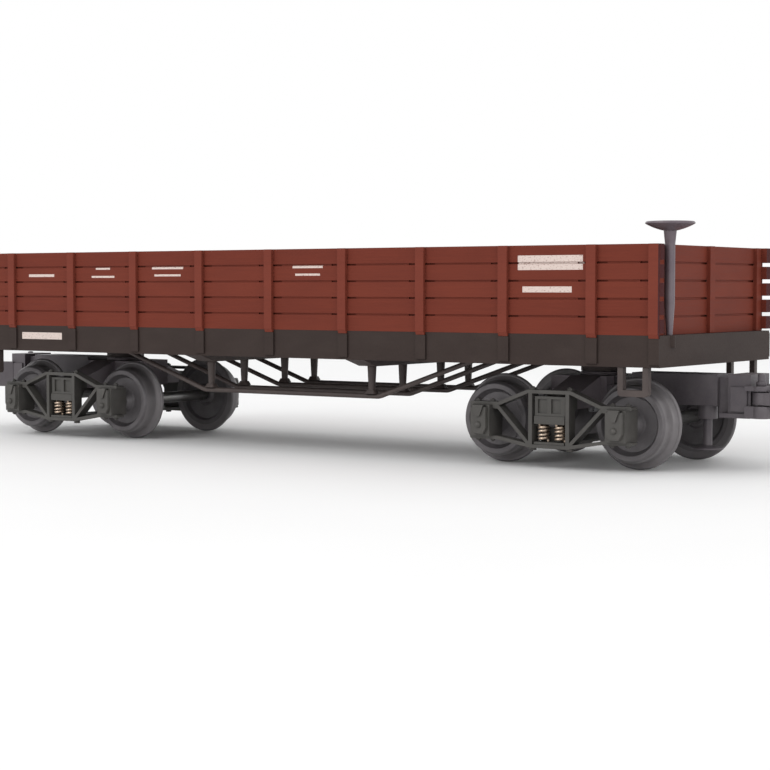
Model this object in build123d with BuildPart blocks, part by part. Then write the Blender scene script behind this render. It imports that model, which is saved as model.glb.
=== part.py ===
"""O gauge model of a truss-rod flat car with low plank sides, as separate pieces.

Millimetres. Z = 0 is the lowest point of the wheel flanges, X runs along the car with
the brake end at +X, and the origin is under the middle of the car. Bogies ("trucks")
are modelled at the brake end and turned half round the Z axis for the plain end.
"""
from build123d import *
import math
import os

# ------------------------------------------------------------------ driving sizes
# Wheels and track: 1:48 scale on 31.75 mm gauge
tread_radius = 8.7
flange_radius = 10.3
wheel_back = 14.2            # half the back-to-back distance
flange_width = 1.5
wheel_face = 19.6            # outer face of the rim, from the middle of the track
axle_radius = 1.5
journal_radius = 0.8
running_fit = 0.07

# Body
half_length = 104.0
half_width = 29.5            # over the planks
sill_bottom = 23.4
deck_top = 30.2
side_top = 49.6
deck_thickness = 1.8
sill_wall = 2.0
plank_count = 5
plank_thickness = 2.0
stake_pitch = 22.0
stake_width = 2.3
stake_proud = 0.9
corner_stake_x = 102.8
end_wall_face = 101.8
end_stake_width = 2.6
end_stake_proud = 0.9

# Running gear
truck_centre = 75.0
wheelbase = 34.2
sideframe_outer = 25.2
sideframe_width = 2.8
post_x = 24.9
rod_rows = (-21.8, -8.6, 8.6, 21.8)
rod_height = 14.45
rod_radius = 0.6

# ------------------------------------------------------------------ worked out
axle_height = flange_radius
panel_height = side_top - deck_top
plank_height = panel_height / plank_count
seams = [deck_top + plank_height * number for number in range(1, plank_count)]
stakes = [stake_pitch * number for number in range(-4, 5)] + [-corner_stake_x, corner_stake_x]
deck_underside = deck_top - deck_thickness
inner_half_width = half_width - plank_thickness
stake_foot = deck_top - 0.6

os.makedirs("parts", exist_ok=True)


def save(part, label):
    """Name a finished piece and write it out."""
    part.label = label
    export_step(part, f"parts/{label}.step")


# ------------------------------------------------------------------ deck
board_pitch = 3.85
board_count = 52
joint_width = 0.3
joint_depth = 0.25
floor_height = 0.2                 # the boards stand this much above the ledge the walls rest on
floor_gap = 0.1
floor_top = deck_top + floor_height
pocket_width = 2.7
pocket_proud = 0.45
pocket_bottom = 24.0
pocket_top = stake_foot - 0.05
socket_x = 103.2                   # the brake staff stands on the ledge outside the end wall
socket_y = -23.15
socket_radius = 1.35
socket_depth = 2.6
staff_foot_radius = 0.65
staff_bottom = deck_top - 1.2

with BuildPart() as deck:
    with BuildSketch(Plane.XY.offset(sill_bottom)):
        Rectangle(2 * half_length, 2 * half_width)
    extrude(amount=deck_top - sill_bottom)
    with BuildSketch(Plane.XY.offset(sill_bottom)):
        Rectangle(2 * (half_length - sill_wall), 2 * (half_width - sill_wall))
    extrude(amount=deck_underside - sill_bottom, mode=Mode.SUBTRACT)
    with BuildSketch(Plane.XY.offset(deck_top)):
        Rectangle(2 * (end_wall_face - plank_thickness - floor_gap), 2 * (inner_half_width - floor_gap))
    extrude(amount=floor_height)
    with Locations((0, 0, floor_top)):
        with GridLocations(board_pitch, 1, board_count, 1):
            Box(joint_width, 2 * inner_half_width - 1, 2 * joint_depth, mode=Mode.SUBTRACT)
    for x in stakes:
        width = min(pocket_width, 2 * (half_length - abs(x)))
        for y in (-half_width, half_width):
            with Locations((x, y, (pocket_bottom + pocket_top) / 2)):
                Box(width, 2 * pocket_proud, pocket_top - pocket_bottom)
    with BuildSketch(Plane.XY.offset(deck_top - socket_depth)):
        with Locations((socket_x, socket_y)):
            Circle(socket_radius)
    extrude(amount=socket_depth)
    with BuildSketch(Plane.XY.offset(staff_bottom)):
        with Locations((socket_x, socket_y)):
            Circle(staff_foot_radius + running_fit)
    extrude(amount=deck_top - staff_bottom, mode=Mode.SUBTRACT)
save(deck.part, "deck")

# ------------------------------------------------------------------ plank sides and ends
seam_height = 0.42
seam_depth = 0.25
seam_deep = 0.6
seam_deep_reach = 2.4        # the joint opens up this far each side of a stake
inner_seam_depth = 0.25
notch_height = 0.9
notch_length = half_length - end_wall_face
panel_middle = deck_top + panel_height / 2
stake_chamfer = 0.9


def side_wall(notch_face):
    """Plank wall along the left side; its end notches are cut out as far as Y = notch_face."""
    with BuildPart() as piece:
        with Locations((0, half_width - plank_thickness / 2, panel_middle)):
            Box(2 * half_length, plank_thickness, panel_height)
        for seam in seams:
            with Locations((0, half_width, seam)):
                Box(2 * half_length, 2 * seam_depth, seam_height, mode=Mode.SUBTRACT)
            with Locations((0, inner_half_width, seam)):
                Box(2 * half_length, 2 * inner_seam_depth, seam_height, mode=Mode.SUBTRACT)
            with Locations(*[(x, half_width, seam) for x in stakes]):
                Box(stake_width + 2 * seam_deep_reach, 2 * seam_deep, seam_height, mode=Mode.SUBTRACT)
        for x in stakes:
            with BuildSketch(Plane.YZ.offset(x - stake_width / 2)):
                with BuildLine():
                    Polyline(
                        (half_width, side_top),
                        (half_width + stake_proud, side_top),
                        (half_width + stake_proud, stake_foot + stake_chamfer),
                        (half_width + stake_proud / 2, stake_foot),
                        (half_width, stake_foot),
                        close=True,
                    )
                make_face()
            extrude(amount=stake_width)
        for height in [deck_top] + seams:
            for x in (-half_length, half_length):
                with Locations((x, (inner_half_width + notch_face) / 2, height)):
                    Box(2 * notch_length, notch_face - inner_half_width, notch_height, mode=Mode.SUBTRACT)
    return piece.part


# The left wall's notches run out through its corner stakes, the right wall's stop at the planks.
save(side_wall(half_width + stake_proud), "side_panel_left")
save(mirror(side_wall(half_width), about=Plane.XZ), "side_panel_right")

end_wall_middle = end_wall_face - plank_thickness / 2
end_corner = inner_half_width - end_stake_width / 2


with BuildPart() as end_wall:
    with Locations((end_wall_middle, 0, panel_middle)):
        Box(plank_thickness, 2 * inner_half_width, panel_height)
    for seam in seams:
        with Locations((end_wall_face, 0, seam)):
            Box(2 * seam_depth, 2 * inner_half_width, seam_height, mode=Mode.SUBTRACT)
        with Locations((end_wall_face - plank_thickness, 0, seam)):
            Box(2 * inner_seam_depth, 2 * inner_half_width, seam_height, mode=Mode.SUBTRACT)
        with Locations(*[(end_wall_face, y, seam) for y in (-end_corner, 0, end_corner)]):
            Box(2 * seam_deep, end_stake_width + 2 * seam_deep_reach, seam_height, mode=Mode.SUBTRACT)
    for y in (-end_corner, 0, end_corner):
        with Locations((end_wall_face + end_stake_proud / 2, y, panel_middle)):
            Box(end_stake_proud, end_stake_width, panel_height)
save(end_wall.part, "end_panel_brake_end")
save(mirror(end_wall.part, about=Plane.YZ), "end_panel_plain_end")

# ------------------------------------------------------------------ underframe
bolster_half = 4.0
bolster_inner = truck_centre - bolster_half
boss_radius = 4.8
boss_bottom = 21.15
screw_radius = 1.5
screw_top = 27.0
weight_thickness = 1.6
weight_half_length = 48.0
weight_half_width = 19.5
sill_half_width = 6.0
channel_wall = 1.2
channel_top = deck_underside - weight_thickness

with BuildPart() as body_bolster:
    with BuildSketch(Plane.XY.offset(sill_bottom)):
        with Locations((truck_centre, 0)):
            Rectangle(2 * bolster_half, 2 * (half_width - sill_wall))
    extrude(amount=deck_underside - sill_bottom)
    with BuildSketch(Plane.XY.offset(boss_bottom)):
        with Locations((truck_centre, 0)):
            Circle(boss_radius)
    extrude(amount=sill_bottom - boss_bottom)
    with BuildSketch(Plane.XY.offset(boss_bottom)):
        with Locations((truck_centre, 0)):
            Circle(screw_radius)
    extrude(amount=screw_top - boss_bottom, mode=Mode.SUBTRACT)
save(body_bolster.part, "body_bolster_brake_end")
save(mirror(body_bolster.part, about=Plane.YZ), "body_bolster_plain_end")

with BuildPart() as centre_sill:
    with BuildSketch(Plane.YZ.offset(-bolster_inner)):
        with Locations((0, (sill_bottom + channel_top) / 2)):
            Rectangle(2 * sill_half_width, channel_top - sill_bottom)
        with Locations((0, (sill_bottom + channel_top - channel_wall) / 2)):
            Rectangle(
                2 * (sill_half_width - channel_wall),
                channel_top - channel_wall - sill_bottom,
                mode=Mode.SUBTRACT,
            )
    extrude(amount=2 * bolster_inner)
save(centre_sill.part, "centre_sill")

weight_screw_x = 40.0
weight_screw_y = 13.0
weight_screw_radius = 1.1
weight_head_radius = 2.0
weight_head_base = 0.5
weight_head_height = 1.1
weight_slot = 0.5
weight_slot_length = 3.0

with BuildPart() as weight_plate:
    with BuildSketch(Plane.XY.offset(channel_top)):
        Rectangle(2 * weight_half_length, 2 * weight_half_width)
        with GridLocations(2 * weight_screw_x, 2 * weight_screw_y, 2, 2):
            Circle(weight_screw_radius, mode=Mode.SUBTRACT)
    extrude(amount=weight_thickness)
save(weight_plate.part, "weight_plate")

with BuildPart() as weight_screws:
    with BuildSketch(Plane.XY.offset(channel_top)):
        with GridLocations(2 * weight_screw_x, 2 * weight_screw_y, 2, 2):
            Circle(weight_screw_radius)
    extrude(amount=weight_thickness)
    with BuildSketch(Plane.XY.offset(channel_top - weight_head_height)):
        with GridLocations(2 * weight_screw_x, 2 * weight_screw_y, 2, 2):
            Circle(weight_head_radius)
            Rectangle(weight_slot_length, weight_slot, mode=Mode.SUBTRACT)
            Rectangle(weight_slot, weight_slot_length, mode=Mode.SUBTRACT)
    extrude(amount=weight_head_height - weight_head_base)
    with BuildSketch(Plane.XY.offset(channel_top - weight_head_base)):
        with GridLocations(2 * weight_screw_x, 2 * weight_screw_y, 2, 2):
            Circle(weight_head_radius)
    extrude(amount=weight_head_base)
save(weight_screws.part, "weight_screws")

# Needle beams carry the queen posts, and the posts hold the rods down.
beam_half = 2.6
beam_bottom = 21.7
beam_end = 29.2
beam_flat_end = 23.6
post_top_radius = 1.1
post_low_radius = 0.8
foot_length = 3.2
foot_width = 2.6
foot_corner = 0.8
foot_height = 1.0
foot_taper = 30
foot_bottom = rod_height + rod_radius

with BuildPart() as needle_beam:
    with BuildSketch(Plane.YZ.offset(post_x - beam_half)):
        with BuildLine():
            Polyline(
                (-beam_end, sill_bottom),
                (-beam_flat_end, beam_bottom),
                (beam_flat_end, beam_bottom),
                (beam_end, sill_bottom),
                close=True,
            )
        make_face()
    extrude(amount=2 * beam_half)
save(needle_beam.part, "needle_beam_brake_end")
save(mirror(needle_beam.part, about=Plane.YZ), "needle_beam_plain_end")

with BuildPart() as queen_posts:
    for y in rod_rows:
        with BuildSketch(Plane.XY.offset(foot_bottom)):
            with Locations((post_x, y)):
                RectangleRounded(foot_length, foot_width, foot_corner)
        extrude(amount=foot_height, taper=foot_taper)
        with BuildSketch(Plane.XY.offset(foot_bottom + foot_height / 2)):
            with Locations((post_x, y)):
                Circle(post_low_radius)
        with BuildSketch(Plane.XY.offset(beam_bottom)):
            with Locations((post_x, y)):
                Circle(post_top_radius)
        loft()
save(queen_posts.part, "queen_posts_brake_end")
save(mirror(queen_posts.part, about=Plane.YZ), "queen_posts_plain_end")

rod_bend = post_x + 2.2
rod_slope = 0.35
rod_rise = deck_underside + 1.0    # the rods are drawn a little too high, then cut off at the deck
rod_end_x = rod_bend + (rod_rise - rod_height) / rod_slope
rod_corner = 4.0

for number, y in enumerate(rod_rows, start=1):
    with BuildPart() as truss_rod:
        with BuildLine():
            FilletPolyline(
                (-rod_end_x, y, rod_rise),
                (-rod_bend, y, rod_height),
                (rod_bend, y, rod_height),
                (rod_end_x, y, rod_rise),
                radius=rod_corner,
            )
        with BuildSketch(Plane.YZ):
            with Locations((y, rod_height)):
                Circle(rod_radius)
        sweep()
        split(bisect_by=Plane.XY.offset(deck_underside), keep=Keep.BOTTOM)
    save(truss_rod.part, f"truss_rod_{number}")

# ------------------------------------------------------------------ stirrup steps
step_bottom = 17.1
step_tread = 1.4
step_leg = 1.3
step_depth = 1.6
step_inner = 94.0
step_outer = 101.2
step_face = 29.2
step_corner = 0.9

with BuildPart() as step:
    with BuildSketch(Plane.XZ.offset(step_face - step_depth)):
        with Locations(((step_inner + step_outer) / 2, (step_bottom + sill_bottom) / 2)):
            Rectangle(step_outer - step_inner, sill_bottom - step_bottom)
        with Locations(((step_inner + step_outer) / 2, (step_bottom + step_tread + sill_bottom) / 2)):
            Rectangle(
                step_outer - step_inner - 2 * step_leg,
                sill_bottom - step_bottom - step_tread,
                mode=Mode.SUBTRACT,
            )
    extrude(amount=step_depth)
    fillet(step.edges().filter_by(Axis.Y).group_by(Axis.Z)[0], radius=step_corner)
save(step.part, "stirrup_step_brake_end_right")
save(mirror(step.part, about=Plane.XZ), "stirrup_step_brake_end_left")
save(mirror(step.part, about=Plane.YZ), "stirrup_step_plain_end_right")
save(step.part.rotate(Axis.Z, 180), "stirrup_step_plain_end_left")

# ------------------------------------------------------------------ hand brake
staff_radius = 1.1
staff_taper_top = deck_top + 6.5
staff_top_radius = 1.4
wheel_low = 52.5
wheel_top = 54.4
brake_radius = 5.3
stem_radius = 0.8
stem_top = wheel_top - 0.2
boss_width = 1.6                   # radius of the flat under the wheel

with BuildPart() as brake_staff:
    with BuildSketch(Plane.XZ.offset(-socket_y)):
        with BuildLine():
            Polyline(
                (socket_x, staff_bottom),
                (socket_x + staff_foot_radius, staff_bottom),
                (socket_x + staff_foot_radius, deck_top),
                (socket_x + staff_radius, staff_taper_top),
                (socket_x + staff_radius, side_top),
                (socket_x + staff_top_radius, wheel_low),
                (socket_x + stem_radius, wheel_low),
                (socket_x + stem_radius, stem_top),
                (socket_x, stem_top),
                close=True,
            )
        make_face()
    revolve(axis=Axis((socket_x, socket_y, 0), (0, 0, 1)))
save(brake_staff.part, "brake_staff")

with BuildPart() as brake_wheel:
    with BuildSketch(Plane.XZ.offset(-socket_y)):
        with BuildLine():
            Line((socket_x + stem_radius, wheel_low), (socket_x + boss_width, wheel_low))
            ThreePointArc(
                (socket_x + boss_width, wheel_low),
                (socket_x + 3.9, wheel_low + 0.75),
                (socket_x + brake_radius, wheel_top - 0.45),
            )
            ThreePointArc(
                (socket_x + brake_radius, wheel_top - 0.45),
                (socket_x + brake_radius - 0.15, wheel_top - 0.05),
                (socket_x + brake_radius - 0.6, wheel_top),
            )
            ThreePointArc(
                (socket_x + brake_radius - 0.6, wheel_top),
                (socket_x + 3.2, wheel_low + 1.1),
                (socket_x + stem_radius, wheel_low + 0.8),
            )
            Line((socket_x + stem_radius, wheel_low + 0.8), (socket_x + stem_radius, wheel_low))
        make_face()
    revolve(axis=Axis((socket_x, socket_y, 0), (0, 0, 1)))
save(brake_wheel.part, "brake_wheel")

# ------------------------------------------------------------------ trucks
arch_half = 5.4
arch_bend = 13.0
arch_end = 20.0
arch_top = 17.2
arch_low = 14.2
strap_thick = 0.8
column_x = 4.7
column_width = 0.95
tie_low = 5.0
tie_high = 6.5
tie_bend = 13.3
column_foot_radius = 0.8
column_foot_height = 0.6
box_half = 2.5
box_low = 6.8
box_high = 13.9
box_inner = 20.6
box_face = 26.4
lid_half = 2.1
lid_thick = 0.8
lid_taper = 12
latch_thick = 1.2
latch_length = 2.6
boss_height = 2.6
boss_ball = 0.75
cone_start = 21.5
cone_end = 22.5
window = column_x - column_width / 2
bolster_width = window - 0.35
bolster_end = 24.6
bolster_shoulder = 19.6
ledge_end = 24.9
ledge_root = 21.6
panel_width = 2.4
panel_tall = 3.2
panel_sink = 0.45
panel_z = 14.0
bolster_top = 16.2
ledge_low = 10.0
ledge_high = 11.7
plank_low = tie_low + strap_thick / 2
plank_top = plank_low + 0.6
lip_y = 21.65                      # upright lips behind the springs
lip_thickness = 0.5
lip_top = 9.2
plate_top = 21.0
plate_radius = 4.8
hub_half = 5.4
hub_inner = 9.0                    # the hub reaches this far towards the middle of the car
hub_y = 8.0
hub_low = 13.2
hub_top = 20.2
spring_y = 23.5
spring_x = 2.15
spring_radius = 1.1
spring_wire = 0.3
spring_turns = 4


arch_strap = [(0, arch_top), (arch_half, arch_top), (arch_bend, arch_low), (arch_end, arch_low)]
brace_top = arch_low - 0.75
brace_strap = [(arch_bend + 1.2, brace_top), (arch_bend, brace_top), (column_x, tie_low)]
tie_strap = [(0, tie_low), (column_x, tie_low), (tie_bend, tie_high), (arch_end, tie_high)]


def strap(points, end):
    """Flat bar along a bent line, drawn in the current sketch; end is 1, or -1 for the other half."""
    for (x0, z0), (x1, z1) in zip(points, points[1:]):
        length = math.hypot(x1 - x0, z1 - z0)
        slope = math.degrees(math.atan2(z1 - z0, x1 - x0))
        with Locations((end * (x0 + x1) / 2, (z0 + z1) / 2)):
            SlotCenterToCenter(length, strap_thick, rotation=end * slope)


with BuildPart() as sideframe:
    with BuildSketch(Plane.XZ.offset(sideframe_outer - sideframe_width)):
        with Locations((truck_centre, 0)):
            for end in (-1, 1):
                strap(arch_strap, end)
                strap(brace_strap, end)
                strap(tie_strap, end)
                with Locations((end * column_x, (arch_top + tie_low) / 2)):
                    Rectangle(column_width, arch_top - tie_low)
    extrude(amount=sideframe_width)
    for end in (-1, 1):
        box_x = truck_centre + end * wheelbase / 2
        with Locations((box_x, -(box_inner + box_face) / 2, (box_low + box_high) / 2)):
            Box(2 * box_half, box_face - box_inner, box_high - box_low)
        with BuildSketch(Plane.XZ.offset(box_face)):
            with BuildLine():
                Polyline(
                    (box_x - lid_half, box_high - 0.3),
                    (box_x + lid_half, box_high - 0.3),
                    (box_x + lid_half, box_low + 2.0),
                    (box_x + lid_half - 0.8, box_low + 0.4),
                    (box_x - lid_half + 0.8, box_low + 0.4),
                    (box_x - lid_half, box_low + 2.0),
                    close=True,
                )
            make_face()
        extrude(amount=lid_thick, taper=lid_taper)
        with BuildSketch(Plane.XZ.offset(box_face)):
            with BuildLine():
                Polyline(
                    (box_x - 1.5, box_high),
                    (box_x + 1.5, box_high),
                    (box_x + 0.5, box_high - latch_length),
                    (box_x - 0.5, box_high - latch_length),
                    close=True,
                )
            make_face()
        extrude(amount=latch_thick)
        with Locations((box_x, -(box_face + lid_thick), box_low + boss_height)):
            Sphere(boss_ball)
        with BuildSketch(Plane.YZ.offset(box_x)):
            with BuildLine():
                Polyline(
                    (-box_inner, axle_height),
                    (-box_inner, axle_height + journal_radius + running_fit),
                    (-cone_start, axle_height + journal_radius + running_fit),
                    (-cone_end, axle_height),
                    close=True,
                )
            make_face()
        revolve(axis=Axis((box_x, 0, axle_height), (0, 1, 0)), mode=Mode.SUBTRACT)
        column_y = -(sideframe_outer - sideframe_width / 2)
        with Locations((truck_centre + end * column_x, column_y, tie_low - 0.65)):
            Cylinder(column_foot_radius, column_foot_height)
save(sideframe.part, "truck_a_sideframe_right")

with BuildPart() as bolster:
    with BuildSketch(Plane.YZ.offset(truck_centre - bolster_width)):
        with BuildLine():
            Polyline(
                (-ledge_end, ledge_low),
                (-ledge_root, ledge_low),
                (-bolster_shoulder, hub_low),
                (bolster_shoulder, hub_low),
                (ledge_root, ledge_low),
                (ledge_end, ledge_low),
                (ledge_end, ledge_high),
                (bolster_end, ledge_high + 0.3),
                (bolster_end, bolster_top),
                (bolster_shoulder, bolster_top),
                (hub_y, hub_top),
                (-hub_y, hub_top),
                (-bolster_shoulder, bolster_top),
                (-bolster_end, bolster_top),
                (-bolster_end, ledge_high + 0.3),
                (-ledge_end, ledge_high),
                close=True,
            )
        make_face()
    extrude(amount=2 * bolster_width)
    with Locations((truck_centre + (hub_half - hub_inner) / 2, 0, (hub_low + hub_top) / 2)):
        Box(hub_half + hub_inner, 2 * hub_y, hub_top - hub_low)
    with BuildSketch(Plane.XY.offset(hub_top)):
        with Locations((truck_centre, 0)):
            Circle(plate_radius)
    extrude(amount=plate_top - hub_top)
    with BuildSketch(Plane.XY.offset(hub_low)):
        with Locations((truck_centre, 0)):
            Circle(screw_radius + running_fit)
    extrude(amount=plate_top - hub_low, mode=Mode.SUBTRACT)
    for x in (truck_centre - 1.85, truck_centre + 1.55):
        with Locations((x, -bolster_end, panel_z), (x, bolster_end, panel_z)):
            Box(panel_width, 2 * panel_sink, panel_tall, mode=Mode.SUBTRACT)
save(bolster.part, "truck_a_bolster")

with BuildPart() as spring_plank:
    with Locations((truck_centre, 0, (plank_low + plank_top) / 2)):
        Box(2 * bolster_width, 2 * (sideframe_outer - 0.2), plank_top - plank_low)
    with Locations(*[(truck_centre, y, (plank_low + lip_top) / 2) for y in (-lip_y, lip_y)]):
        Box(2 * bolster_width, lip_thickness, lip_top - plank_low)
save(spring_plank.part, "truck_a_spring_plank")

spring_height = ledge_low - plank_top
coil_pitch = (spring_height - 2 * spring_wire) / spring_turns

with BuildPart() as coil_springs:
    for x in (truck_centre - spring_x, truck_centre + spring_x):
        for y in (-spring_y, spring_y):
            with BuildLine(Plane((x, y, plank_top + spring_wire))):
                coil = Helix(coil_pitch, spring_height - 2 * spring_wire, spring_radius)
            with BuildSketch(Plane(coil @ 0, z_dir=coil % 0)):
                Circle(spring_wire)
            sweep(path=coil, is_frenet=True)
save(coil_springs.part, "truck_a_coil_springs")

# Wheelsets: one axle and two wheels, turned about Y
rim_face_radius = 8.0
rim_inner_radius = 6.7
dish_depth = 1.5
hub_radius = 2.4
hub_face = 20.0
point_start = 21.3
point_reach = 22.3


def axle(x):
    """Steel axle with needle ends that run in the box cones."""
    with BuildPart() as piece:
        with BuildSketch(Plane.YZ.offset(x)):
            with BuildLine():
                Polyline(
                    (-point_reach, axle_height),
                    (-point_start, axle_height + journal_radius),
                    (-hub_face, axle_height + journal_radius),
                    (-hub_face, axle_height + axle_radius),
                    (hub_face, axle_height + axle_radius),
                    (hub_face, axle_height + journal_radius),
                    (point_start, axle_height + journal_radius),
                    (point_reach, axle_height),
                    close=True,
                )
            make_face()
        revolve(axis=Axis((x, 0, axle_height), (0, 1, 0)))
    return piece.part


def wheel(x):
    """Wheel on the left rail: flange, coned tread, dished face and raised hub."""
    front = wheel_back + flange_width
    with BuildPart() as piece:
        with BuildSketch(Plane.YZ.offset(x)):
            with BuildLine():
                Polyline(
                    (wheel_back, axle_height + axle_radius),
                    (wheel_back, axle_height + hub_radius),
                    (wheel_back + 0.8, axle_height + hub_radius + 0.6),
                    (wheel_back + 0.8, axle_height + rim_inner_radius),
                    (wheel_back, axle_height + rim_inner_radius + 0.6),
                    (wheel_back, axle_height + flange_radius - 0.6),
                )
                ThreePointArc(
                    (wheel_back, axle_height + flange_radius - 0.6),
                    (wheel_back + 0.5, axle_height + flange_radius),
                    (wheel_back + 1.0, axle_height + flange_radius - 0.6),
                )
                Polyline(
                    (wheel_back + 1.0, axle_height + flange_radius - 0.6),
                    (front, axle_height + tread_radius + 0.15),
                    (front + 0.3, axle_height + tread_radius),
                    (wheel_face - 0.9, axle_height + tread_radius - 0.15),
                    (wheel_face, axle_height + rim_face_radius),
                    (wheel_face, axle_height + rim_inner_radius + 0.25),
                    (wheel_face - 0.5, axle_height + rim_inner_radius),
                    (wheel_face - dish_depth, axle_height + rim_inner_radius - 0.6),
                    (wheel_face - dish_depth, axle_height + hub_radius + 0.8),
                    (hub_face - 0.5, axle_height + hub_radius),
                    (hub_face, axle_height + hub_radius - 0.3),
                    (hub_face, axle_height + axle_radius),
                    (wheel_back, axle_height + axle_radius),
                )
            make_face()
        revolve(axis=Axis((x, 0, axle_height), (0, 1, 0)))
    return piece.part


# ------------------------------------------------------------------ couplers
arm_rear = truck_centre + hub_half
arm_front = 105.9
arm_half = 4.2
arm_wall = 1.2
arm_low = 14.1
arm_high = 21.1
arm_shelf = 4.5                    # the arm's top is cut away this far, to pass under the body bolster
foot_half = 7.6
foot_tall = 4.0
rib_x = 101.8
rib_half = 2.8
rib_top = 16.3
guide_low = 11.0
guide_radius = 2.2
post_radius = 1.05
neck_half = 3.1
neck_low = 12.6
neck_high = 20.5
head_rear = 108.9
head_front = 114.2
head_half = 5.2
head_low = 11.7
head_high = 21.3
lip_rear = 107.0
lip_thick = 1.0
cheek_low = 13.2
cheek_high = 18.6
cheek_proud = 0.5
cheek_margin = 0.7
guard_root = 113.2
jaw_low = 11.8
jaw_high = 18.9
lower_ear = 2.7
upper_ear = 1.1
ear_radius = 2.3
ear_half = 2.1
pin_x = 116.3
pin_y = -4.3
pin_radius = 0.8
collar_radius = 1.15
collar_height = 1.0
pin_high = 21.6
pin_round = 0.4
rivet_y = 5.9
rivet_z = 16.2
rivet_radius = 0.7
rivet_head_radius = 1.2
rivet_head_height = 0.6

with BuildPart() as coupler_arm:
    with BuildSketch(Plane.XY.offset(arm_low)):
        with Locations(((arm_rear + arm_front) / 2, 0)):
            Rectangle(arm_front - arm_rear, 2 * arm_half)
    extrude(amount=arm_high - arm_low)
    with BuildSketch(Plane.XY.offset(arm_low)):
        with Locations(((arm_rear + arm_front) / 2, 0)):
            Rectangle(arm_front - arm_rear - 2 * arm_wall, 2 * (arm_half - arm_wall))
    extrude(amount=arm_high - arm_wall - arm_low, mode=Mode.SUBTRACT)
    with Locations((rib_x, 0, (arm_low + rib_top) / 2)):
        Box(2 * rib_half, 2 * arm_half, rib_top - arm_low)
    with BuildSketch(Plane.XY.offset(guide_low)):
        with Locations((rib_x, 0)):
            Circle(guide_radius)
    extrude(amount=rib_top - guide_low)
    with BuildSketch(Plane.XY.offset(guide_low)):
        with Locations((rib_x, 0)):
            Circle(post_radius + running_fit)
    extrude(amount=rib_top - guide_low, mode=Mode.SUBTRACT)
    with BuildSketch(Plane.YZ.offset(arm_rear)):
        with Locations((0, rivet_z)):
            Rectangle(2 * foot_half, foot_tall)
    extrude(amount=arm_wall)
    with BuildSketch(Plane.YZ.offset(arm_rear)):
        with Locations((-rivet_y, rivet_z), (rivet_y, rivet_z)):
            Circle(rivet_radius)
    extrude(amount=arm_wall, mode=Mode.SUBTRACT)
    with Locations((arm_rear, 0, arm_high)):
        Box(2 * arm_shelf, 3 * arm_half, 2 * (arm_high - hub_top + 0.2), mode=Mode.SUBTRACT)
save(coupler_arm.part, "truck_a_coupler_arm")

with BuildPart() as arm_rivets:
    for y in (-rivet_y, rivet_y):
        with BuildSketch(Plane.YZ.offset(arm_rear)):
            with Locations((y, rivet_z)):
                Circle(rivet_radius)
        extrude(amount=arm_wall)
        with BuildSketch(Plane.YZ.offset(arm_rear + arm_wall)):
            with Locations((y, rivet_z)):
                Circle(rivet_head_radius)
        extrude(amount=rivet_head_height, taper=20)
save(arm_rivets.part, "truck_a_arm_rivets")

head_middle = (head_rear + head_front) / 2
head_length = head_front - head_rear

with BuildPart() as coupler_head:
    with Locations(((arm_front + head_front) / 2, 0, (neck_low + neck_high) / 2)):
        Box(head_front - arm_front, 2 * neck_half, neck_high - neck_low)
    with Locations((head_middle, 0, (head_low + head_high) / 2)):
        Box(head_length, 2 * head_half, head_high - head_low)
    with Locations((head_middle, 0, (cheek_low + cheek_high) / 2)):
        Box(head_length - 2 * cheek_margin, 2 * (head_half + cheek_proud), cheek_high - cheek_low)
    with Locations(((lip_rear + head_front) / 2, 0, head_low + lip_thick / 2)):
        Box(head_front - lip_rear, 2 * (head_half + cheek_proud), lip_thick)
    with BuildSketch(Plane.XY.offset(jaw_low)):
        with BuildLine():
            Polyline(
                (guard_root, 2.6),
                (head_front, 2.6),
                (head_front + 5.0, 4.7),
                (head_front + 7.3, 6.4),
                (head_front + 7.1, 8.0),
                (head_front + 4.1, 7.4),
                (guard_root, 5.8),
                close=True,
            )
        make_face()
    extrude(amount=jaw_high - jaw_low)
    for low, thick in ((jaw_low, lower_ear), (jaw_high - upper_ear, upper_ear)):
        with BuildSketch(Plane.XY.offset(low)):
            with Locations((pin_x, pin_y)):
                Circle(ear_radius)
            with Locations(((guard_root + pin_x) / 2, pin_y)):
                Rectangle(pin_x - guard_root, 2 * ear_half)
            with Locations((pin_x, pin_y)):
                Circle(pin_radius, mode=Mode.SUBTRACT)
        extrude(amount=thick)
save(coupler_head.part, "truck_a_coupler_head")

with BuildPart() as knuckle_pin:
    with Locations((pin_x, pin_y, (jaw_low + pin_high) / 2)):
        Cylinder(pin_radius, pin_high - jaw_low)
    with Locations((pin_x, pin_y, jaw_high + collar_height / 2)):
        Cylinder(collar_radius, collar_height)
    fillet(knuckle_pin.edges().group_by(Axis.Z)[-1], radius=pin_round)
save(knuckle_pin.part, "truck_a_knuckle_pin")

knuckle_gap = 0.3
knuckle_low = jaw_low + lower_ear + knuckle_gap
knuckle_high = jaw_high - upper_ear - knuckle_gap
knuckle_hub = 1.9
knuckle_hook = [(0, 0, 1.6), (3.9, 0.0, 1.7), (5.3, 1.9, 1.5), (5.0, 4.6, 1.3)]

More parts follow.
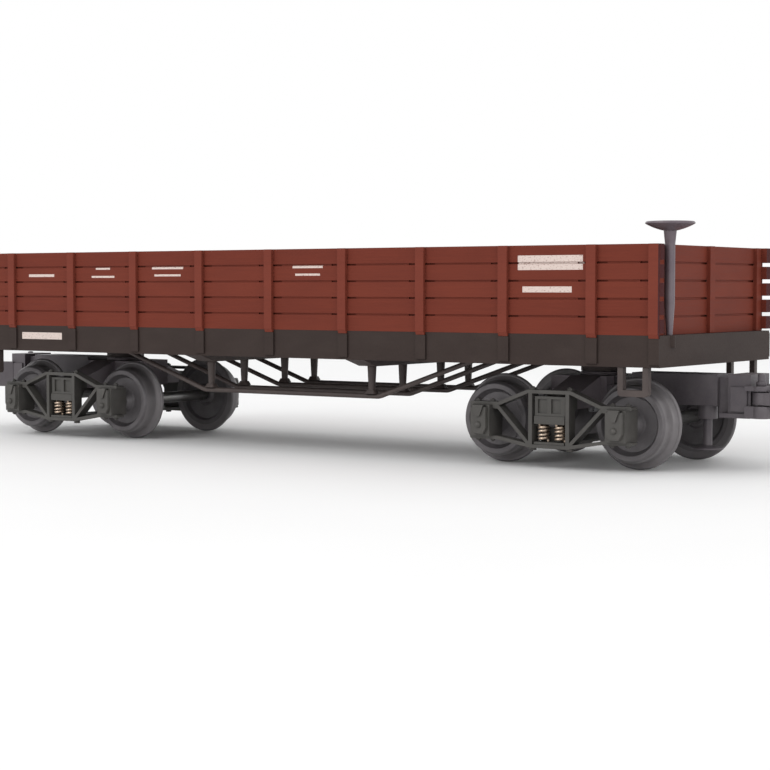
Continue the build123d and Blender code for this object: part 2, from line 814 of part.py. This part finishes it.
with BuildPart() as knuckle:
    with BuildSketch(Plane.XY.offset(knuckle_low)):
        with Locations((pin_x, pin_y)):
            Circle(knuckle_hub)
    extrude(amount=knuckle_high - knuckle_low)
    for (x0, y0, r0), (x1, y1, r1) in zip(knuckle_hook, knuckle_hook[1:]):
        with BuildSketch(Plane.XY.offset(knuckle_low)):
            with Locations((pin_x + x0, pin_y + y0)):
                Circle(r0)
            with Locations((pin_x + x1, pin_y + y1)):
                Circle(r1)
            make_hull()
        extrude(amount=knuckle_high - knuckle_low)
    with BuildSketch(Plane.XY.offset(knuckle_low)):
        with Locations((pin_x, pin_y)):
            Circle(pin_radius + running_fit)
    extrude(amount=knuckle_high - knuckle_low, mode=Mode.SUBTRACT)
save(knuckle.part, "truck_a_knuckle")

disc_low = 4.1
disc_radius = 3.6
disc_edge = disc_low + 0.35
disc_crown = disc_low + 0.9
cap_radius = 1.7
cap_low = rib_top + 1.6
cap_high = rib_top + 2.4

with BuildPart() as armature:
    with BuildSketch(Plane.XZ):
        with BuildLine():
            Polyline(
                (rib_x, disc_low),
                (rib_x + disc_radius, disc_low),
                (rib_x + disc_radius, disc_edge),
                (rib_x + post_radius, disc_crown),
                (rib_x + post_radius, cap_low),
                (rib_x + cap_radius, cap_low),
                (rib_x + cap_radius, cap_high),
                (rib_x, cap_high),
                close=True,
            )
        make_face()
    revolve(axis=Axis((rib_x, 0, 0), (0, 0, 1)))
save(armature.part, "truck_a_armature")

# ------------------------------------------------------------------ pivot screws
screw_head_top = hub_low - 0.15
screw_head_radius = 3.0
screw_head_height = 1.5
cross_length = 3.6
cross_width = 0.7
cross_depth = 0.9

with BuildPart() as pivot_screws:
    for x in (-truck_centre, truck_centre):
        with BuildSketch(Plane.XY.offset(screw_head_top)):
            with Locations((x, 0)):
                Circle(screw_radius)
        extrude(amount=screw_top - screw_head_top)
        with BuildSketch(Plane.XY.offset(screw_head_top - screw_head_height)):
            with Locations((x, 0)):
                Circle(screw_head_radius)
        extrude(amount=screw_head_height)
        with BuildSketch(Plane.XY.offset(screw_head_top - screw_head_height)):
            with Locations((x, 0)):
                Rectangle(cross_length, cross_width)
                Rectangle(cross_width, cross_length)
        extrude(amount=cross_depth, mode=Mode.SUBTRACT)
save(pivot_screws.part, "pivot_screws")

# ------------------------------------------------------------------ the rest of both trucks
save(mirror(sideframe.part, about=Plane.XZ), "truck_a_sideframe_left")
for place, x in (("inner", truck_centre - wheelbase / 2), ("outer", truck_centre + wheelbase / 2)):
    save(axle(x), f"truck_a_{place}_axle")
    save(wheel(x), f"truck_a_{place}_wheel_left")
    save(mirror(wheel(x), about=Plane.XZ), f"truck_a_{place}_wheel_right")

turned = [
    (bolster.part, "bolster"),
    (spring_plank.part, "spring_plank"),
    (coil_springs.part, "coil_springs"),
    (coupler_arm.part, "coupler_arm"),
    (arm_rivets.part, "arm_rivets"),
    (coupler_head.part, "coupler_head"),
    (knuckle_pin.part, "knuckle_pin"),
    (knuckle.part, "knuckle"),
    (armature.part, "armature"),
    (sideframe.part, "sideframe_left"),
    (mirror(sideframe.part, about=Plane.XZ), "sideframe_right"),
]
for place, x in (("inner", truck_centre - wheelbase / 2), ("outer", truck_centre + wheelbase / 2)):
    turned.append((axle(x), f"{place}_axle"))
    turned.append((wheel(x), f"{place}_wheel_right"))
    turned.append((mirror(wheel(x), about=Plane.XZ), f"{place}_wheel_left"))
for part, label in turned:
    save(part.rotate(Axis.Z, 180), f"truck_b_{label}")
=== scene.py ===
"""Looks of an O gauge model flat car: paint, grain, wear, springs, bolt heads, light and camera."""
import math

import bmesh
import bpy
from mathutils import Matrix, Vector


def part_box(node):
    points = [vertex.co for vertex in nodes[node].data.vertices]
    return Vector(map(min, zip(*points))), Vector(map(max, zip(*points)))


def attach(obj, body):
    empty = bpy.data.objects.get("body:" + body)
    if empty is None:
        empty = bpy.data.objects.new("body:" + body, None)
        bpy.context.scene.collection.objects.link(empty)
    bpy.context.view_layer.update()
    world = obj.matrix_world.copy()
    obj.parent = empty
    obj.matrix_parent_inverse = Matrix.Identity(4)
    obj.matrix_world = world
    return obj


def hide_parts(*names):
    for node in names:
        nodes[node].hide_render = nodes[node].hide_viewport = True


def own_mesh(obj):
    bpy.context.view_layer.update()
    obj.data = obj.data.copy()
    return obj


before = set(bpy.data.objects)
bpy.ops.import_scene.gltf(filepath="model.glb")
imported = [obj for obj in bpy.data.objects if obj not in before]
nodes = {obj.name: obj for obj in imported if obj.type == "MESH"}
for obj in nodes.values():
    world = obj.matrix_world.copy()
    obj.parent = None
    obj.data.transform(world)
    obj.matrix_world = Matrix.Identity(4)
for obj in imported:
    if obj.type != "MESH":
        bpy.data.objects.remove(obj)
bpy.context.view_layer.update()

MM = 0.001
scene = bpy.context.scene
scene.view_settings.view_transform = "Standard"


# ------------------------------------------------------------------ places, from the frame
def low(name):
    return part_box(name)[0]


def high(name):
    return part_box(name)[1]


def middle(name):
    return (low(name) + high(name)) / 2


deck_top = high("deck").z
wall_base = low("end_panel_brake_end").z
planks_high = 5
plank_height = (high("end_panel_brake_end").z - wall_base) / planks_high

# Sizes that no box gives
tread_radius = 8.7 * MM
coil_radius = 1.1 * MM
coil_wire = 0.3 * MM

TRUCKS = ("truck_a", "truck_b")


# ------------------------------------------------------------------ material tools
def srgb(red, green, blue):
    """Linear colour from 0 to 255 display values."""
    def channel(value):
        value /= 255
        return value / 12.92 if value <= 0.04045 else ((value + 0.055) / 1.055) ** 2.4
    return (channel(red), channel(green), channel(blue), 1)


class Finish:
    """One procedural material: a Principled shader and the nodes that feed it."""

    def __init__(self, name, roughness=0.5, metallic=0.0, specular=0.5):
        self.material = bpy.data.materials.new(name)
        self.material.use_nodes = True
        self.tree = self.material.node_tree
        self.shader = self.tree.nodes["Principled BSDF"]
        self.shader.inputs["Roughness"].default_value = roughness
        self.shader.inputs["Metallic"].default_value = metallic
        self.shader.inputs["Specular IOR Level"].default_value = specular
        coordinates = self.node("ShaderNodeTexCoord")
        self.place = coordinates.outputs["Object"]
        self.facing = coordinates.outputs["Normal"]

    def node(self, kind, **settings):
        made = self.tree.nodes.new(kind)
        for key, value in settings.items():
            setattr(made, key, value)
        return made

    def feed(self, socket, value):
        if isinstance(value, bpy.types.NodeSocket):
            self.tree.links.new(value, socket)
        else:
            socket.default_value = value

    def axes(self, vector):
        """The X, Y and Z outputs of a vector; the place on the object is in metres."""
        split = self.node("ShaderNodeSeparateXYZ")
        self.feed(split.inputs[0], vector)
        return split.outputs

    def math(self, operation, first, second=0.0):
        made = self.node("ShaderNodeMath", operation=operation)
        self.feed(made.inputs[0], first)
        self.feed(made.inputs[1], second)
        return made.outputs[0]

    def between(self, value, start, end):
        """1 where the value is from start to end, else 0."""
        above = self.math("GREATER_THAN", value, start)
        return self.math("MULTIPLY", above, self.math("LESS_THAN", value, end))

    def noise(self, size, detail=3.0, rough=0.55):
        """Noise whose features are about size millimetres along X, Y and Z."""
        mapping = self.node("ShaderNodeMapping")
        self.feed(mapping.inputs["Vector"], self.place)
        mapping.inputs["Scale"].default_value = [1 / (value * MM) for value in size]
        made = self.node("ShaderNodeTexNoise")
        self.feed(made.inputs["Vector"], mapping.outputs[0])
        made.inputs["Scale"].default_value = 1.0
        made.inputs["Detail"].default_value = detail
        made.inputs["Roughness"].default_value = rough
        return made.outputs["Fac"]

    def ramp(self, value, *stops):
        """Colour ramp from (position, colour) stops; a colour may be one number."""
        made = self.node("ShaderNodeValToRGB")
        self.feed(made.inputs[0], value)
        band = made.color_ramp
        while len(band.elements) < len(stops):
            band.elements.new(0.5)
        for element, (position, colour) in zip(band.elements, stops):
            element.position = position
            element.color = colour if hasattr(colour, "__len__") else (colour, colour, colour, 1)
        return made.outputs["Color"]

    def mix(self, share, first, second):
        """The first colour where share is 0 and the second where it is 1."""
        made = self.node("ShaderNodeMix", data_type="RGBA")
        self.feed(made.inputs[0], share)
        self.feed(made.inputs[6], first)
        self.feed(made.inputs[7], second)
        return made.outputs[2]

    def corner_shade(self, reach):
        """Painted shade mask: about 1 in the open and 0 in a corner, within reach millimetres."""
        made = self.node("ShaderNodeAmbientOcclusion", samples=8)
        made.inputs["Distance"].default_value = reach * MM
        return made.outputs["AO"]

    def bump(self, height, depth, strength=1.0, below=None):
        """Relief of depth millimetres."""
        made = self.node("ShaderNodeBump")
        made.inputs["Strength"].default_value = strength
        made.inputs["Distance"].default_value = depth * MM
        self.feed(made.inputs["Height"], height)
        if below is not None:
            self.feed(made.inputs["Normal"], below)
        return made.outputs[0]

    def stripes(self, colour, bars):
        """Plain off-white painted stripes on the -Y face; each bar is its ends in X and in Z, in mm."""
        place = self.axes(self.place)
        front = self.math("LESS_THAN", self.axes(self.facing)[1], -0.9)
        worn = self.ramp(self.noise((0.5, 0.5, 0.3), detail=4), (0.32, 0.35), (0.45, 0.9))
        for start, end, bottom, top in bars:
            wide = self.between(place[0], start * MM, end * MM)
            tall = self.between(place[2], bottom * MM, top * MM)
            inside = self.math("MULTIPLY", wide, tall)
            cover = self.math("MULTIPLY", inside, self.math("MULTIPLY", front, worn))
            colour = self.mix(cover, colour, srgb(222, 206, 198))
        return colour

    def done(self, colour, rough=None, normal=None):
        self.feed(self.shader.inputs["Base Color"], colour)
        if rough is not None:
            self.feed(self.shader.inputs["Roughness"], rough)
        if normal is not None:
            self.feed(self.shader.inputs["Normal"], normal)
        return self.material


# ------------------------------------------------------------------ materials
# Plain stripes where a car carries its markings: ends in X, then in Z, in mm
SIDE_BARS = (
    (69.5, 85.7, 44.2, 47.4),
    (70.7, 83.0, 39.3, 40.6),
    (7.0, 16.0, 45.0, 45.6),
    (7.8, 15.2, 43.2, 43.7),
    (-38.0, -27.6, 45.0, 45.6),
    (-37.2, -28.4, 43.2, 43.7),
    (-57.5, -52.5, 45.0, 45.5),
    (-59.0, -51.0, 42.9, 43.4),
    (-82.0, -72.6, 43.2, 43.9),
)
DECK_BARS = ((-84.8, -70.0, 26.6, 28.4),)

TRUCK_DARK = srgb(66, 64, 61)
TRUCK_LIGHT = srgb(81, 79, 76)


def plank_paint(name, along_x, bars=()):
    """Oxide red paint over fine board grain, each board a slightly different tone.

    Painted shade darkens the board ends at the ends of the car, and bars are plain painted stripes.
    """
    finish = Finish(name, roughness=0.66, specular=0.12)
    x, y, z = finish.axes(finish.place)
    facing_x = finish.axes(finish.facing)[0]
    board = finish.math("FLOOR", finish.math("DIVIDE", finish.math("SUBTRACT", z, wall_base), plank_height))
    tone = finish.node("ShaderNodeTexWhiteNoise", noise_dimensions="1D")
    finish.feed(tone.inputs["W"], finish.math("ADD", board, 3.7))
    grain = finish.noise((14, 0.5, 0.28) if along_x else (0.5, 14, 0.28), detail=5, rough=0.62)
    patch = finish.noise((16, 16, 5), detail=2)
    colour = finish.mix(grain, srgb(94, 40, 30), srgb(119, 55, 41))
    colour = finish.mix(finish.math("MULTIPLY", tone.outputs["Value"], 0.3), colour, srgb(124, 60, 45))
    colour = finish.mix(finish.ramp(patch, (0.40, 0.0), (0.75, 0.30)), colour, srgb(91, 41, 32))
    stakes = finish.math("GREATER_THAN", finish.math("ABSOLUTE", y), high("side_panel_left").y - 0.5 * MM)
    colour = finish.mix(finish.math("MULTIPLY", stakes, 0.35), colour, srgb(124, 63, 51))
    # Painted shade: dark red in the corners and grooves, from ambient occlusion.
    colour = finish.mix(finish.ramp(finish.corner_shade(0.8), (0.2, 0.4), (0.75, 0.0)), colour, srgb(78, 33, 26))
    # Painted shade on the faces of the side boards at the car's ends, facing along X.
    if along_x:
        painted_end_shade = finish.math(
            "MULTIPLY",
            finish.math("GREATER_THAN", finish.math("ABSOLUTE", facing_x), 0.9),
            finish.math("GREATER_THAN", finish.math("ABSOLUTE", x), high("side_panel_left").x - 0.1 * MM),
        )
        colour = finish.mix(finish.math("MULTIPLY", painted_end_shade, 0.9), colour, srgb(58, 20, 24))
    colour = finish.stripes(colour, bars)
    rough = finish.ramp(grain, (0.2, 0.56), (0.8, 0.72))
    relief = finish.bump(grain, 0.05, 0.55)
    relief = finish.bump(finish.noise((0.35, 0.35, 0.35), detail=2), 0.012, 0.5, relief)
    return finish.done(colour, rough, relief)


def deck_paint():
    """Brown-black sills, with worn boards on the upper face."""
    finish = Finish("deck_paint", roughness=0.62, specular=0.12)
    x, y, z = finish.axes(finish.place)
    on_top = finish.math("GREATER_THAN", z, deck_top - 0.5 * MM)
    between_sides = finish.math("LESS_THAN", finish.math("ABSOLUTE", y), high("end_panel_plain_end").y)
    between_ends = finish.math("LESS_THAN", finish.math("ABSOLUTE", x), low("end_panel_brake_end").x)
    boards = finish.math("MULTIPLY", finish.math("MULTIPLY", on_top, between_sides), between_ends)
    speck = finish.noise((0.5, 0.5, 0.5), detail=4)
    cloud = finish.noise((9, 9, 4), detail=3)
    sill = finish.mix(speck, srgb(50, 41, 38), srgb(61, 51, 48))
    sill = finish.mix(finish.ramp(cloud, (0.4, 0.0), (0.8, 0.35)), sill, srgb(70, 60, 56))
    board_grain = finish.noise((0.35, 12, 0.35), detail=5, rough=0.65)
    wood = finish.mix(board_grain, srgb(66, 50, 43), srgb(101, 80, 68))
    worn = finish.ramp(finish.noise((4, 30, 4), detail=1), (0.35, 0.0), (0.7, 0.6))
    wood = finish.mix(worn, wood, srgb(78, 66, 60))
    colour = finish.mix(boards, finish.stripes(sill, DECK_BARS), wood)
    # Painted shade: near black in the corners, from ambient occlusion.
    colour = finish.mix(finish.ramp(finish.corner_shade(1.2), (0.3, 0.7), (0.85, 0.0)), colour, srgb(27, 22, 20))
    rough = finish.ramp(speck, (0.3, 0.5), (0.7, 0.66))
    relief = finish.bump(finish.mix(boards, speck, board_grain), 0.04, 0.5)
    return finish.done(colour, rough, relief)


def moulded(name, dark, light, worn, roughness, metallic=0.0, grit=0.02):
    """Painted casting or moulding: mottled, with painted shade darkening its corners, a little paler where
    dust settles.
    """
    finish = Finish(name, roughness=roughness, metallic=metallic, specular=0.4)
    speck = finish.noise((0.4, 0.4, 0.4), detail=4)
    cloud = finish.noise((5, 5, 5), detail=3)
    colour = finish.mix(speck, dark, light)
    colour = finish.mix(finish.ramp(cloud, (0.45, 0.0), (0.8, 0.55)), colour, worn)
    shade = [value * 0.35 for value in dark[:3]] + [1]
    colour = finish.mix(finish.ramp(finish.corner_shade(0.8), (0.3, 0.5), (0.8, 0.0)), colour, shade)
    rough = finish.ramp(speck, (0.3, roughness - 0.07), (0.7, roughness + 0.09))
    return finish.done(colour, rough, finish.bump(speck, grit, 0.5))


def bolster_paint():
    """Truck bolster: frame grey at the ends that show in the windows, and a paler grey between them that is
    painted light, brightening the middle that lies in shade under the deck.
    """
    finish = Finish("bolster_grey", roughness=0.48, metallic=0.15, specular=0.4)
    across = finish.math("ABSOLUTE", finish.axes(finish.place)[1])
    frame_inside = 19 * MM
    between_frames = finish.math("LESS_THAN", across, frame_inside)
    speck = finish.noise((0.4, 0.4, 0.4), detail=4)
    ends = finish.mix(speck, TRUCK_DARK, TRUCK_LIGHT)
    # Painted light: the middle, in shade under the deck, is painted paler than the coupler grey.
    painted_light_middle = finish.mix(speck, srgb(108, 100, 104), srgb(124, 116, 120))
    colour = finish.mix(between_frames, ends, painted_light_middle)
    rough = finish.ramp(speck, (0.3, 0.41), (0.7, 0.57))
    return finish.done(colour, rough, finish.bump(speck, 0.02, 0.5))


def wheel_metal(name, axle):
    """Turned wheel: fine rings round the axle, a polished tread and flange, a duller dished face."""
    finish = Finish(name, roughness=0.42, metallic=0.3, specular=0.5)
    place = finish.axes(finish.place)
    along = finish.math("SUBTRACT", place[0], axle.x)
    up = finish.math("SUBTRACT", place[2], axle.z)
    square = finish.math("ADD", finish.math("MULTIPLY", along, along), finish.math("MULTIPLY", up, up))
    radius = finish.math("SQRT", square)
    rings_per_metre = 9000
    rings = finish.node("ShaderNodeTexNoise", noise_dimensions="1D")
    finish.feed(rings.inputs["W"], finish.math("MULTIPLY", radius, rings_per_metre))
    rings.inputs["Scale"].default_value = 1.0
    rings.inputs["Detail"].default_value = 3.0
    cloud = finish.noise((3, 3, 3), detail=4)
    colour = finish.mix(rings.outputs["Fac"], srgb(86, 83, 85), srgb(112, 108, 110))
    colour = finish.mix(finish.ramp(cloud, (0.4, 0.0), (0.75, 0.55)), colour, srgb(80, 76, 77))
    polished = finish.math("GREATER_THAN", radius, tread_radius - 0.3 * MM)
    colour = finish.mix(finish.math("MULTIPLY", polished, 0.45), colour, srgb(134, 130, 131))
    # Painted shade: dark grey in the corners, from ambient occlusion.
    colour = finish.mix(finish.ramp(finish.corner_shade(1.2), (0.3, 0.4), (0.85, 0.0)), colour, srgb(36, 33, 33))
    rough = finish.ramp(cloud, (0.35, 0.36), (0.7, 0.52))
    relief = finish.bump(rings.outputs["Fac"], 0.02, 0.45)
    return finish.done(colour, rough, relief)


def bare_metal(name, dark, light, roughness=0.32, stretch=(0.3, 0.3, 0.3)):
    """Drawn, turned or cut metal, left bare."""
    finish = Finish(name, roughness=roughness, metallic=0.9)
    streak = finish.noise(stretch, detail=4)
    colour = finish.mix(streak, dark, light)
    shade = [value * 0.3 for value in dark[:3]] + [1]
    # Painted shade: darker metal in the corners, from ambient occlusion.
    colour = finish.mix(finish.ramp(finish.corner_shade(0.7), (0.3, 0.6), (0.85, 0.0)), colour, shade)
    rough = finish.ramp(streak, (0.3, roughness - 0.06), (0.7, roughness + 0.12))
    return finish.done(colour, rough, finish.bump(streak, 0.01, 0.4))


def make_materials():
    return {
        "side": plank_paint("plank_red_side", along_x=True),
        "side_marked": plank_paint("plank_red_side_marked", along_x=True, bars=SIDE_BARS),
        "end": plank_paint("plank_red_end", along_x=False),
        "deck": deck_paint(),
        "under": moulded(
            "underframe_black", srgb(57, 48, 47), srgb(75, 65, 62), srgb(88, 78, 73), roughness=0.5
        ),
        "truck": moulded(
            "truck_grey", TRUCK_DARK, TRUCK_LIGHT, srgb(93, 90, 87), roughness=0.48, metallic=0.15
        ),
        "bolster": bolster_paint(),
        "coupler": moulded(
            "coupler_grey", srgb(80, 75, 79), srgb(99, 93, 97), srgb(110, 104, 106),
            roughness=0.45, metallic=0.2,
        ),
        "brake": moulded(
            "brake_grey", srgb(94, 84, 90), srgb(114, 104, 110), srgb(124, 115, 118),
            roughness=0.36, metallic=0.3, grit=0.012,
        ),
        "axle": bare_metal("axle_steel", srgb(118, 117, 116), srgb(160, 159, 157), stretch=(0.2, 3, 0.2)),
        "spring": bare_metal("spring_bronze", srgb(158, 134, 112), srgb(206, 190, 174), roughness=0.3),
        "screw": bare_metal("screw_steel", srgb(128, 128, 130), srgb(176, 176, 178), roughness=0.3),
        "weight": bare_metal(
            "weight_steel", srgb(98, 97, 97), srgb(134, 133, 131), roughness=0.45, stretch=(6, 0.25, 0.25)
        ),
    }


materials = make_materials()


def material_for(name):
    """The finish of a CAD node, by its name."""
    if name == "side_panel_right":
        return materials["side_marked"]
    if name == "side_panel_left":
        return materials["side"]
    if name.startswith("end_panel"):
        return materials["end"]
    if name == "deck":
        return materials["deck"]
    if name == "weight_plate":
        return materials["weight"]
    if name.endswith("screws"):
        return materials["screw"]
    if name.startswith("brake_"):
        return materials["brake"]
    if name.endswith("axle"):
        return materials["axle"]
    if name.startswith("truck_") and "_wheel_" in name:
        return wheel_metal(f"{name}_metal", middle(name))
    if "coupler" in name or "knuckle" in name or "rivets" in name or "armature" in name:
        return materials["coupler"]
    if name.startswith("truck_") and name.endswith("bolster"):
        return materials["bolster"]
    if name.startswith("truck_"):
        return materials["truck"]
    return materials["under"]


# Width of the rounded edges in mm, by the start of a node's name
EDGES = {
    "side_panel": 0.10,
    "end_panel": 0.10,
    "deck": 0.14,
    "truck_a_sideframe": 0.08,
    "truck_b_sideframe": 0.08,
}
SMALL_EDGE = 0.06


def finish_cad_nodes():
    """Give every CAD node its material and slightly rounded, smoothly shaded edges."""
    for name, piece in nodes.items():
        piece.data.materials.clear()
        piece.data.materials.append(material_for(name))
        width = next((value for start, value in EDGES.items() if name.startswith(start)), SMALL_EDGE)
        weld = piece.modifiers.new("weld", "WELD")
        weld.merge_threshold = 0.002 * MM
        bevel = piece.modifiers.new("soft_edges", "BEVEL")
        bevel.width = width * MM
        bevel.segments = 2
        bevel.limit_method = "ANGLE"
        bevel.angle_limit = math.radians(35)
        bevel.use_clamp_overlap = True
        bevel.harden_normals = True


finish_cad_nodes()


# ------------------------------------------------------------------ mesh tools
def piece_from(name, build, material, body):
    """New object from a function that fills a bmesh, riding on a body."""
    mesh = bpy.data.meshes.new(name)
    form = bmesh.new()
    build(form)
    bmesh.ops.recalc_face_normals(form, faces=form.faces)
    form.to_mesh(mesh)
    form.free()
    mesh.materials.append(material)
    mesh.polygons.foreach_set("use_smooth", [True] * len(mesh.polygons))
    mesh.set_sharp_from_angle(angle=math.radians(35))
    made = bpy.data.objects.new(name, mesh)
    scene.collection.objects.link(made)
    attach(made, body)
    return made


def add_lathe(form, centre, axis, outline, sides):
    """Solid of revolution: outline is (radius, distance along the axis) pairs, from end to end."""
    axis = Vector(axis).normalized()
    helper = Vector((0, 0, 1)) if abs(axis.z) < 0.9 else Vector((1, 0, 0))
    across = axis.cross(helper).normalized()
    up = axis.cross(across)
    rings = []
    for radius, along in outline:
        ring = []
        for step in range(sides):
            angle = 2 * math.pi * step / sides
            offset = (across * math.cos(angle) + up * math.sin(angle)) * radius + axis * along
            ring.append(form.verts.new(Vector(centre) + offset))
        rings.append(ring)
    for first, second in zip(rings, rings[1:]):
        for step in range(sides):
            following = (step + 1) % sides
            form.faces.new((first[step], first[following], second[following], second[step]))
    form.faces.new(rings[0])
    form.faces.new(rings[-1])


def add_nut(form, centre, axis, size, height):
    """Hexagon nut with its bolt end."""
    add_lathe(form, centre, axis, [(size, 0), (size, height * 0.8), (size * 0.86, height)], sides=6)
    end = Vector(centre) + Vector(axis).normalized() * height
    bolt = [(size * 0.5, -0.02 * MM), (size * 0.5, height * 0.35), (size * 0.3, height * 0.5)]
    add_lathe(form, end, axis, bolt, sides=12)


# ------------------------------------------------------------------ springs
def add_coil(form, foot, height, turns, sides=8, steps=28):
    """One helical spring standing on foot, its end turns closed up a little."""
    rings = []
    total = int(turns * steps)
    for step in range(total + 1):
        share = step / total
        angle = 2 * math.pi * turns * share
        eased = share - 0.035 * math.sin(2 * math.pi * share)
        outward = Vector((math.cos(angle), math.sin(angle), 0))
        upward = Vector((0, 0, 1))
        climb = coil_wire + (height - 2 * coil_wire) * eased
        centre = Vector(foot) + outward * coil_radius + upward * climb
        ring = []
        for side in range(sides):
            around = 2 * math.pi * side / sides
            offset = (outward * math.cos(around) + upward * math.sin(around)) * coil_wire
            ring.append(form.verts.new(centre + offset))
        rings.append(ring)
    for first, second in zip(rings, rings[1:]):
        for side in range(sides):
            following = (side + 1) % sides
            form.faces.new((first[side], first[following], second[following], second[side]))
    form.faces.new(rings[0])
    form.faces.new(rings[-1])


def make_springs(truck):
    """Wound springs in place of a truck's plain ones, riding on its frame."""
    node = f"{truck}_coil_springs"
    bottom = low(node).z
    height = low(f"{truck}_bolster").z - bottom
    centre_x = middle(node).x
    x_offset = high(node).x - centre_x - coil_radius - coil_wire
    y_offset = high(node).y - coil_radius - coil_wire

    def build(form):
        for x in (centre_x - x_offset, centre_x + x_offset):
            for y in (-y_offset, y_offset):
                add_coil(form, (x, y, bottom), height, turns=4.5)

    name = f"{truck}_spring_coils"
    made = piece_from(name, build, materials["spring"], f"{truck}_frame")
    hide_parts(node)
    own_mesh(made)


for truck in TRUCKS:
    make_springs(truck)


# ------------------------------------------------------------------ bolts on the trucks
def make_truck_bolts(truck):
    """Nuts over the columns of both sideframes, and over and under the journal boxes."""
    centre = middle(f"{truck}_sideframe_right").x
    half_base = (middle(f"{truck}_outer_axle").x - middle(f"{truck}_inner_axle").x) / 2
    bolt_y = 23.8 * MM
    column_offset = 4.7 * MM
    box_offset = 1.9 * MM
    arch_top = 17.6 * MM
    box_top = 14.6 * MM
    tie_bottom = 6.1 * MM
    column_nut = (0.75 * MM, 0.5 * MM)
    box_nut = (0.6 * MM, 0.45 * MM)

    def build(form):
        for y in (-bolt_y, bolt_y):
            for x in (centre - column_offset, centre + column_offset):
                add_nut(form, (x, y, arch_top), (0, 0, 1), *column_nut)
            for x in (centre - half_base, centre + half_base):
                for offset in (-box_offset, box_offset):
                    add_nut(form, (x + offset, y, box_top), (0, 0, 1), *box_nut)
                    add_nut(form, (x + offset, y, tie_bottom), (0, 0, -1), *box_nut)

    piece_from(f"{truck}_bolts", build, materials["truck"], f"{truck}_frame")


for truck in TRUCKS:
    make_truck_bolts(truck)


# ------------------------------------------------------------------ stage, light and camera
def make_stage():
    finish = Finish("pale_floor", roughness=0.9, specular=0.2)
    cloud = finish.noise((80, 80, 80), detail=2)
    finish.done(finish.mix(cloud, (0.86, 0.86, 0.86, 1), (0.90, 0.90, 0.90, 1)))
    bpy.ops.mesh.primitive_plane_add(size=12, location=(0, 0, 0))
    floor = bpy.context.object
    floor.name = "floor"
    floor.data.materials.append(finish.material)


def add_light(name, location, size, power, target=(0, 0, 0.03)):
    data = bpy.data.lights.new(name, "AREA")
    data.shape = "DISK"
    data.size = size
    data.energy = power
    made = bpy.data.objects.new(name, data)
    made.location = location
    made.rotation_euler = (Vector(target) - Vector(location)).to_track_quat("-Z", "Y").to_euler()
    scene.collection.objects.link(made)


def make_light():
    world = bpy.data.worlds.new("studio")
    world.use_nodes = True
    world.node_tree.nodes["Background"].inputs["Color"].default_value = (1, 1, 1, 1)
    world.node_tree.nodes["Background"].inputs["Strength"].default_value = 1.0
    scene.world = world
    add_light("key", (-0.35, -0.9, 0.7), 0.6, 2.6)
    add_light("fill", (0.95, -0.35, 0.35), 0.6, 1.0)


def make_camera():
    """The camera of the photograph: low, three-quarter on the brake end."""
    yaw, pitch = math.radians(34.5), math.radians(3.1)
    data = bpy.data.cameras.new("camera")
    data.sensor_width = 36
    data.lens = 83.77
    data.clip_start = 0.01
    made = bpy.data.objects.new("camera", data)
    made.location = (0.2697, -0.3725, 0.04027)
    made.rotation_euler = (math.pi / 2 - pitch, 0, yaw)
    scene.collection.objects.link(made)
    scene.camera = made


make_stage()
make_light()
make_camera()
